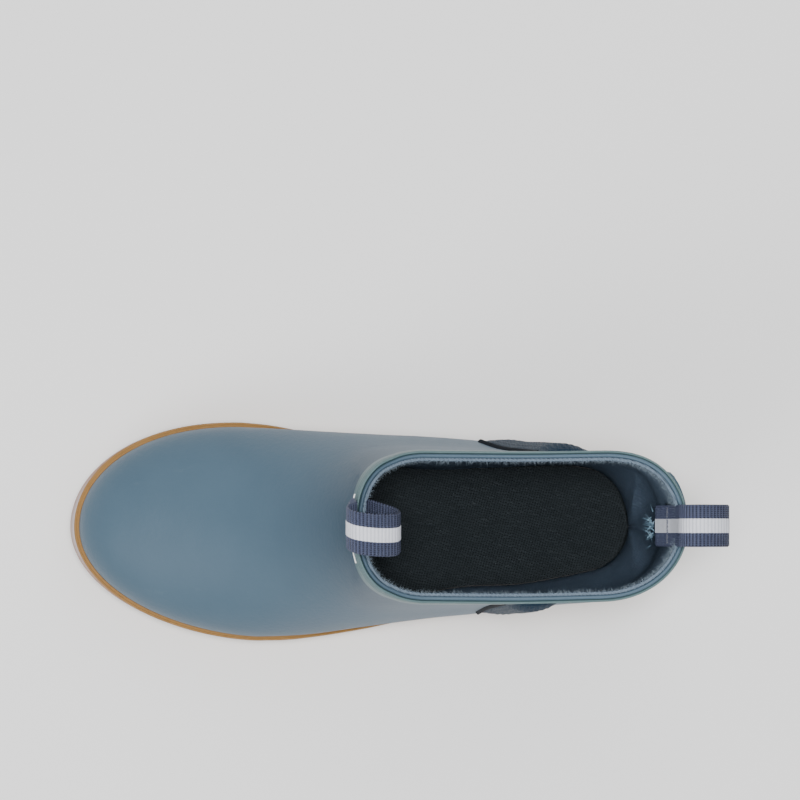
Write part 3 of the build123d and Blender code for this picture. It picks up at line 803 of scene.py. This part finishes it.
def strip_mesh(name, line, run, wide, thick, shift, material, pitch, ribbed, sway):
    """Webbing along a side-view line: ribs across it and rounded selvedges; sway moves it sideways."""
    d = np.gradient(line, axis=0)
    d /= np.linalg.norm(d, axis=1, keepdims=True)
    across = np.stack([-d[:, 1], d[:, 0]], -1)
    n = len(line)
    rib = 0.5 + 0.5 * np.cos(np.linspace(0, run, n) * 2 * pi / pitch)
    section = []
    for y in np.linspace(-wide / 2, wide / 2, 30):
        fall = np.clip((wide / 2 - abs(y)) / (0.5 * thick), 0, 1)
        section.append((y, 0.5 * thick * np.sqrt(1 - (1 - fall) ** 2) + 1e-3))
    loop = [(y, h) for y, h in section] + [(y, -h) for y, h in section[::-1]]
    points = np.empty((n, len(loop), 3))
    for k, (y, h) in enumerate(loop):
        height = h + np.sign(h) * ribbed * (rib - 0.5) + shift
        points[:, k, 0] = line[:, 0] + across[:, 0] * height
        points[:, k, 2] = line[:, 1] + across[:, 1] * height
        points[:, k, 1] = y + sway(line[:, 0], line[:, 1])
    faces = grid_faces(n, len(loop), wrap_columns=True)
    m = len(loop)
    faces += [tuple(range(m)), tuple(range((n - 1) * m, n * m))]
    obj = make(name, points.reshape(-1, 3), faces, [material])
    for key, values in (("run", np.repeat(np.linspace(0, run, n), m)), ("side", np.tile([y for y, h in loop], n))):
        obj.data.attributes.new(key, "FLOAT", "POINT").data.foreach_set("value", values)
    return turn_out(obj)


for name, axis, lean, slim, out in (("front", (-16.0, 158.3), 13, 1.0, -1), ("rear", (127.9, 161.2), 30, 0.9, 1)):
    turn = radians(lean)
    path = [
        (axis[0] + slim * u * cos(turn) + w * sin(turn), axis[1] + w * cos(turn) - slim * u * sin(turn))
        for u, w in arch
    ]
    edge_line = instep if name == "front" else back
    outer_heights = (156, 153, 150, 147.5) if out < 0 else (156, 149, 141, 134)
    outer = [(float(smooth(z, edge_line)) + out * 2.3, z) for z in outer_heights]
    inner = [(float(smooth(z, edge_line)) - out * 4.1, z) for z in (156, 149, 141, 134)]
    if out > 0:
        outer = [(x + lift, z) for (x, z), lift in zip(outer, (0.1, 1.2, 1.9, 1.9))]
        inner = [(x - bulge, z) for (x, z), bulge in zip(inner, (0.3, 1.6, 3.4, 5.0))]
    route = outer[::-1] + (path if out < 0 else path[::-1]) + inner
    line, run = spline_through(route, 420)
    if out > 0:
        line = line[::-1]

    def sway(x, z):
        """The front loop is pulled askew and its top leans to the outer side; the rear one sits square."""
        if out > 0:
            return 0.4 + 0 * x
        return (3 - 0.11 * (x + 11.3)) * ease((z - 140) / 22) - 0.25 * np.clip(z - 158, 0, None)

    web = strip_mesh(
        f"{name} loop webbing", line, run, webbing_wide, webbing_thick, 0, nylon, webbing_rib, 0.22, sway)
    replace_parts(web, f"{name}_loop_webbing", f"{name}_loop_outer_tail", f"{name}_loop_inner_tail")
    low, high = (
        ((axis[0] + away[0]) / 1000, away[1] / 1000, (axis[1] + up) / 1000) for up in (bend_low, bend_high))
    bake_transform(web)
    stripe = strip_mesh(
        f"{name} loop stripe", line, run, stripe_wide, stripe_thick, stripe_out, stripe_thread, webbing_rib, 0.05, sway)
    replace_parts(stripe, f"{name}_loop_stripe")
    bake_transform(stripe)

    # Bar tacks: close zigzags of navy thread across both tails.
    thread = finish_of(f"{name} tack thread", lambda p: (
        p.noise(1500).between((0.03, 0.04, 0.08), (0.06, 0.075, 0.13)), 0.6, (p.part(1) * 9000).sin(), 1e-4), sheen=0.3)
    for tail, points, hand in (("outer", outer, out), ("inner", inner, -out)):
        x, z = points[1]
        lean_x = (points[0][0] - points[2][0]) / (points[0][1] - points[2][1])
        seats = bpy.data.meshes.new(f"{name} {tail} tack")
        places = []
        for k, yy in enumerate(np.linspace(-8, 8, 34)):
            zz = z + (0.17 if k % 2 else -0.17)
            yy = yy + float(sway(np.array(x), np.array(zz)))
            places.append(((x + hand * 0.78 + lean_x * (zz - z) + away[0]) / 1000, (yy + away[1]) / 1000, zz / 1000))
        seats.from_pydata(places, [], [])
        tack = bpy.data.objects.new(f"{name}_{tail}_tack", seats)
        bpy.context.scene.collection.objects.link(tack)

        def stitches(place, values):
            stitch = place.node(
                "GeometryNodeMeshCylinder", ("Vertices", 8), ("Radius", values["thickness"]),
                ("Depth", values["length"]))
            turn_by = place.node(
                "FunctionNodeRandomValue", (0, (-0.5, 0.0, 0.0)), (1, (0.5, 0.0, 0.0)), ("Seed", 3),
                data_type="FLOAT_VECTOR")
            return place.node(
                "GeometryNodeInstanceOnPoints", ("Points", place), ("Instance", stitch), ("Rotation", turn_by))

        repeat(tack, stitches, {"length": 0.0026, "thickness": 0.00024}, thread)
        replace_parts(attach(tack, "boot"), f"{name}_{tail}_bar_tack")

# ---- loose thread ------------------------------------------------------------------------------
# Tuft of pale blue thread ends left at the foot of the rear loop where it is sewn to the lining.
pale_thread = finish_of("pale thread", lambda p: (
    p.noise(1500).between((0.08, 0.16, 0.23), (0.24, 0.38, 0.48)), 0.8, p.noise(900), 1e-5))
count = 44
heading = rng.normal(0, 1, (count, 3)) * (0.6, 0.9, 0.4) + (-0.9, 0, 0.1)
seats = bpy.data.meshes.new("tuft seats")
tail_foot = inner[3][0]
spots = np.stack([
    tail_foot - 1.0 - rng.random(count) * 2.2, rng.normal(-0.6, 2.9, count), 135.5 - rng.random(count) * 3], -1)
seats.from_pydata([tuple(q) for q in (spots + away) / 1000], [], [])
seats.attributes.new("heading", "FLOAT_VECTOR", "POINT").data.foreach_set("vector", heading.ravel())
tuft = bpy.data.objects.new("thread_tuft", seats)
bpy.context.scene.collection.objects.link(tuft)
repeat(tuft, fibres, {"length": 0.0042, "thickness": 0.00016}, pale_thread)
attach(tuft, "boot")

# ---- sizes -------------------------------------------------------------------------------------
low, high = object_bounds()
